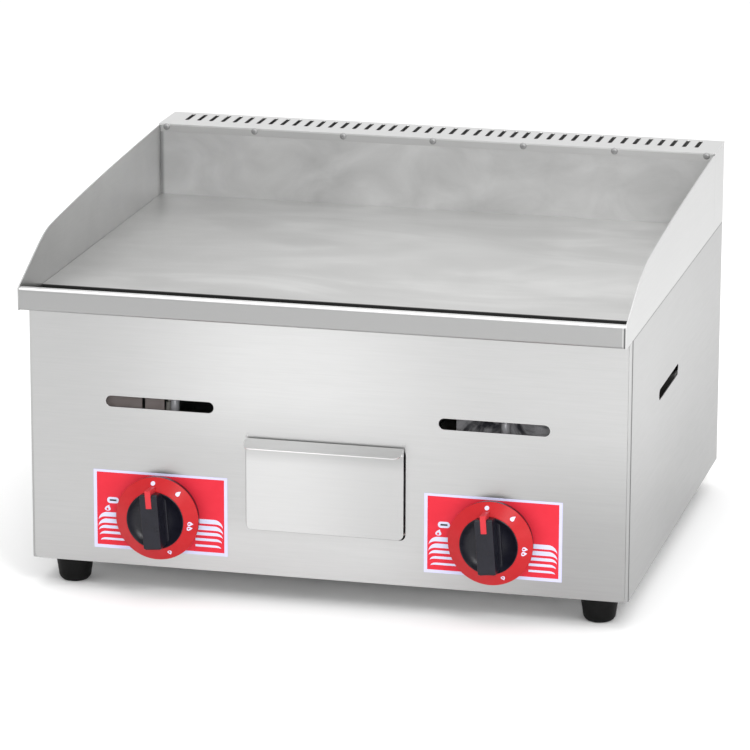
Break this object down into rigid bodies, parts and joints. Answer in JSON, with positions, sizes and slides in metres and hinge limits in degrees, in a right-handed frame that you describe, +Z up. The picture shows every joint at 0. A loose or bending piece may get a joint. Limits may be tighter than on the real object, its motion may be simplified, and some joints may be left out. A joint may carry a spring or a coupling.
{
  "type": "flat top griddle",
  "caption": "Countertop gas griddle: flat steel plate with splash guards, front grease gutter, slotted rear flue, pull-out drip tray and push-and-turn gas knobs on rubber feet.",
  "frame": {"origin": "on the floor under the middle of the appliance's outline, knobs and gas inlet included", "axes": "+X to the right as seen from the front, +Y to the back, +Z up"},
  "size_m": [0.55, 0.5356, 0.3442],
  "materials": {
    "stainless_front": "fine horizontal brushed grain",
    "stainless_side": "satin sheet",
    "stainless_top": "satin sheet",
    "stainless_inner": "plain mill sheet",
    "ground_steel": "ground cooking surface with a cloudy oil film",
    "screw_steel": "bright zinc",
    "burner_steel": "heat-tinted stainless",
    "galvanised": "dull zinc-coated sheet, slightly browned by heat",
    "pipe_steel": "zinc-coated pipe",
    "brass_parts": "machined brass",
    "stem_steel": "bright steel",
    "ceramic_white": "white glaze",
    "lead_sleeve": "silicone sleeve",
    "label_film": "printed vinyl film",
    "foot_rubber": "moulded black rubber",
    "knob_black": "moulded phenolic",
    "knob_red": "satin red plastic"
  },
  "bodies": {
    "chassis": {"front_panel": "stainless_front", "left_side_panel": "stainless_side", "right_side_panel": "stainless_side", "rear_panel": "stainless_side", "base_pan": "stainless_inner", "panel_screws": "screw_steel", "griddle_plate": "ground_steel", "grease_gutter": "stainless_top", "left_splash_guard": "stainless_top", "right_splash_guard": "stainless_top", "back_splash": "stainless_top", "flue_box": "stainless_top", "flue_cover": "stainless_top", "flue_cover_screws": "screw_steel", "drain_spout": "stainless_inner", "left_burner": "burner_steel", "right_burner": "burner_steel", "left_air_shutter": "burner_steel", "right_air_shutter": "burner_steel", "left_injector": "brass_parts", "right_injector": "brass_parts", "left_injector_bracket": "galvanised", "right_injector_bracket": "galvanised", "burner_front_rail": "galvanised", "burner_rear_rail": "galvanised", "gas_manifold": "pipe_steel", "left_valve_body": "brass_parts", "right_valve_body": "brass_parts", "left_feed_tube": "pipe_steel", "right_feed_tube": "pipe_steel", "gas_supply_pipe": "pipe_steel", "gas_inlet": "brass_parts", "left_electrode": "ceramic_white", "right_electrode": "ceramic_white", "left_ignition_lead": "lead_sleeve", "right_ignition_lead": "lead_sleeve", "left_control_label": "label_film", "right_control_label": "label_film", "foot_front_left": "foot_rubber", "foot_front_right": "foot_rubber", "foot_rear_left": "foot_rubber", "foot_rear_right": "foot_rubber", "foot_bolts": "screw_steel", "foot_nuts": "screw_steel", "left_tray_guide": "galvanised", "right_tray_guide": "galvanised"},
    "left_plug": {"left_valve_plug": "brass_parts", "left_return_spring": "stem_steel"},
    "left_knob": {"left_stem": "stem_steel", "left_knob_ring": "knob_red", "left_knob_grip": "knob_black", "left_knob_pointer": "knob_red"},
    "right_plug": {"right_valve_plug": "brass_parts", "right_return_spring": "stem_steel"},
    "right_knob": {"right_stem": "stem_steel", "right_knob_ring": "knob_red", "right_knob_grip": "knob_black", "right_knob_pointer": "knob_red"},
    "drip_tray": {"drip_tray_bin": "stainless_inner", "drip_tray_front": "stainless_front"}
  },
  "joints": [
    {"name": "left_tap_turn", "type": "hinge", "parent": "chassis", "child": "left_plug", "pos_m": [-0.153, -0.2342, 0.076], "axis": [0, -1, 0], "range_deg": [0, 165]},
    {"name": "left_knob_push", "type": "slide", "parent": "left_plug", "child": "left_knob", "axis": [0, 1, 0], "range_m": [0, 0.003], "stiffness_N_per_m": 700, "springref_m": -0.003, "deforming": ["left_return_spring"]},
    {"name": "right_tap_turn", "type": "hinge", "parent": "chassis", "child": "right_plug", "pos_m": [0.153, -0.2342, 0.076], "axis": [0, -1, 0], "range_deg": [0, 165]},
    {"name": "right_knob_push", "type": "slide", "parent": "right_plug", "child": "right_knob", "axis": [0, 1, 0], "range_m": [0, 0.003], "stiffness_N_per_m": 700, "springref_m": -0.003, "deforming": ["right_return_spring"]},
    {"name": "tray_slide", "type": "slide", "parent": "chassis", "child": "drip_tray", "axis": [0, -1, 0], "range_m": [0, 0.19]}
  ]
}
